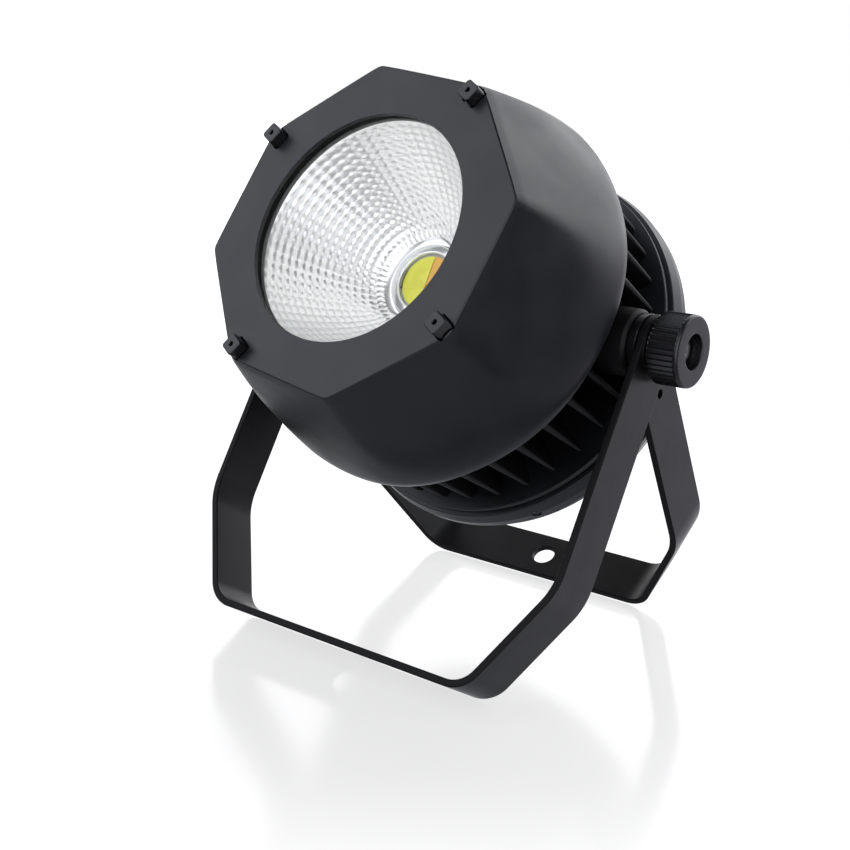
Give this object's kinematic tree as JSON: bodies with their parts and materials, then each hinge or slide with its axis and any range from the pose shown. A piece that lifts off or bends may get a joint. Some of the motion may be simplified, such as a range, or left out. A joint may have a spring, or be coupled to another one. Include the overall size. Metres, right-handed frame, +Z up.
{
  "type": "par can light",
  "caption": "Round LED spot head with octagonal front hood, faceted reflector, finned heat sink and rear housing, tilting between two flat U-shaped yokes clamped by ribbed knobs.",
  "frame": {"origin": "middle of the light's footprint on the surface it stands on, under the box around the light", "axes": "+Z up, X along the tilt axis with the right knob at +X, the lens faces -Y and up"},
  "size_m": [0.2604, 0.2657, 0.2891],
  "materials": {
    "yoke_paint": "satin black powder coat on steel",
    "black_paint": "satin black powder coat on aluminium",
    "black_cast": "matte black die cast aluminium",
    "black_plastic": "moulded black plastic",
    "black_rubber": "black rubber",
    "clear_glass": "clear toughened glass",
    "reflector": "bright faceted metallised reflector",
    "white_ceramic": "white ceramic and plastic",
    "emitter_cool": "yellow phosphor under clear silicone",
    "emitter_warm": "orange phosphor under clear silicone",
    "steel": "zinc plated steel",
    "brass": "turned brass",
    "board_green": "green circuit board",
    "component": "dark electronic components",
    "display": "dark display module"
  },
  "bodies": {
    "front_yoke": {"front_yoke": "yoke_paint"},
    "rear_yoke": {"rear_yoke": "yoke_paint", "right_middle_washer": "black_rubber", "left_middle_washer": "black_rubber"},
    "head": {"accessory_clip_1": "black_plastic", "accessory_clip_2": "black_plastic", "accessory_clip_3": "black_plastic", "accessory_clip_4": "black_plastic", "control_board": "board_green", "cover_screw_1": "steel", "cover_screw_2": "steel", "cover_screw_3": "steel", "cover_screw_4": "steel", "display_module": "display", "display_window": "clear_glass", "driver_board": "board_green", "driver_capacitor": "component", "driver_choke": "component", "driver_transformer": "component", "emitter_cool": "emitter_cool", "emitter_warm": "emitter_warm", "fuse_holder": "black_plastic", "heat_sink": "black_cast", "hood": "black_paint", "housing_screw_1": "steel", "housing_screw_2": "steel", "housing_screw_3": "steel", "housing_screw_4": "steel", "inner_barrel": "black_paint", "led_board": "white_ceramic", "led_cable": "black_rubber", "led_holder": "white_ceramic", "left_inner_washer": "black_rubber", "left_threaded_insert": "brass", "lens_gasket": "black_rubber", "lens_glass": "clear_glass", "menu_switches": "component", "power_inlet": "black_plastic", "power_outlet": "black_plastic", "rear_gasket": "black_rubber", "rear_housing": "black_paint", "rear_panel": "black_paint", "reflector": "reflector", "right_inner_washer": "black_rubber", "right_threaded_insert": "brass", "safety_loop": "steel", "signal_inlet": "black_plastic", "signal_outlet": "black_plastic"},
    "right_washer": {"right_clamp_washer": "steel"},
    "right_knob": {"right_knob": "black_plastic", "right_clamp_bolt": "steel"},
    "left_washer": {"left_clamp_washer": "steel"},
    "left_knob": {"left_knob": "black_plastic", "left_clamp_bolt": "steel"},
    "menu_button_1": {"menu_button_1": "black_plastic"},
    "menu_button_2": {"menu_button_2": "black_plastic"},
    "menu_button_3": {"menu_button_3": "black_plastic"},
    "menu_button_4": {"menu_button_4": "black_plastic"}
  },
  "joints": [
    {"name": "head_tilt", "type": "hinge", "parent": "front_yoke", "child": "head", "pos_m": [0, -0.00143, 0.16477], "axis": [-1, 0, 0], "range_deg": [-100, 100]},
    {"name": "rear_yoke_fold", "type": "hinge", "parent": "front_yoke", "child": "rear_yoke", "pos_m": [0, -0.00143, 0.16477], "axis": [-1, 0, 0], "range_deg": [-119, 49]},
    {"name": "right_washer_slide", "type": "slide", "parent": "head", "child": "right_washer", "axis": [1, 0, 0], "range_m": [0, 0.0037]},
    {"name": "right_knob_turn", "type": "hinge", "parent": "right_washer", "child": "right_knob", "pos_m": [0, -0.00143, 0.16477], "axis": [1, 0, 0], "range_deg": [0, 1080]},
    {"name": "left_washer_slide", "type": "slide", "parent": "head", "child": "left_washer", "axis": [-1, 0, 0], "range_m": [0, 0.0037]},
    {"name": "left_knob_turn", "type": "hinge", "parent": "left_washer", "child": "left_knob", "pos_m": [0, -0.00143, 0.16477], "axis": [-1, 0, 0], "range_deg": [0, 1080]},
    {"name": "menu_button_1_press", "type": "slide", "parent": "head", "child": "menu_button_1", "axis": [0, -0.8771, 0.4802], "range_m": [0, 0.001], "stiffness_N_per_m": 400},
    {"name": "menu_button_2_press", "type": "slide", "parent": "head", "child": "menu_button_2", "axis": [0, -0.8771, 0.4802], "range_m": [0, 0.001], "stiffness_N_per_m": 400},
    {"name": "menu_button_3_press", "type": "slide", "parent": "head", "child": "menu_button_3", "axis": [0, -0.8771, 0.4802], "range_m": [0, 0.001], "stiffness_N_per_m": 400},
    {"name": "menu_button_4_press", "type": "slide", "parent": "head", "child": "menu_button_4", "axis": [0, -0.8771, 0.4802], "range_m": [0, 0.001], "stiffness_N_per_m": 400}
  ],
  "couplings": [
    {"joint": "right_knob_turn", "follows": "right_washer_slide", "rad_per_m": 5026.5},
    {"joint": "left_knob_turn", "follows": "left_washer_slide", "rad_per_m": 5026.5}
  ]
}
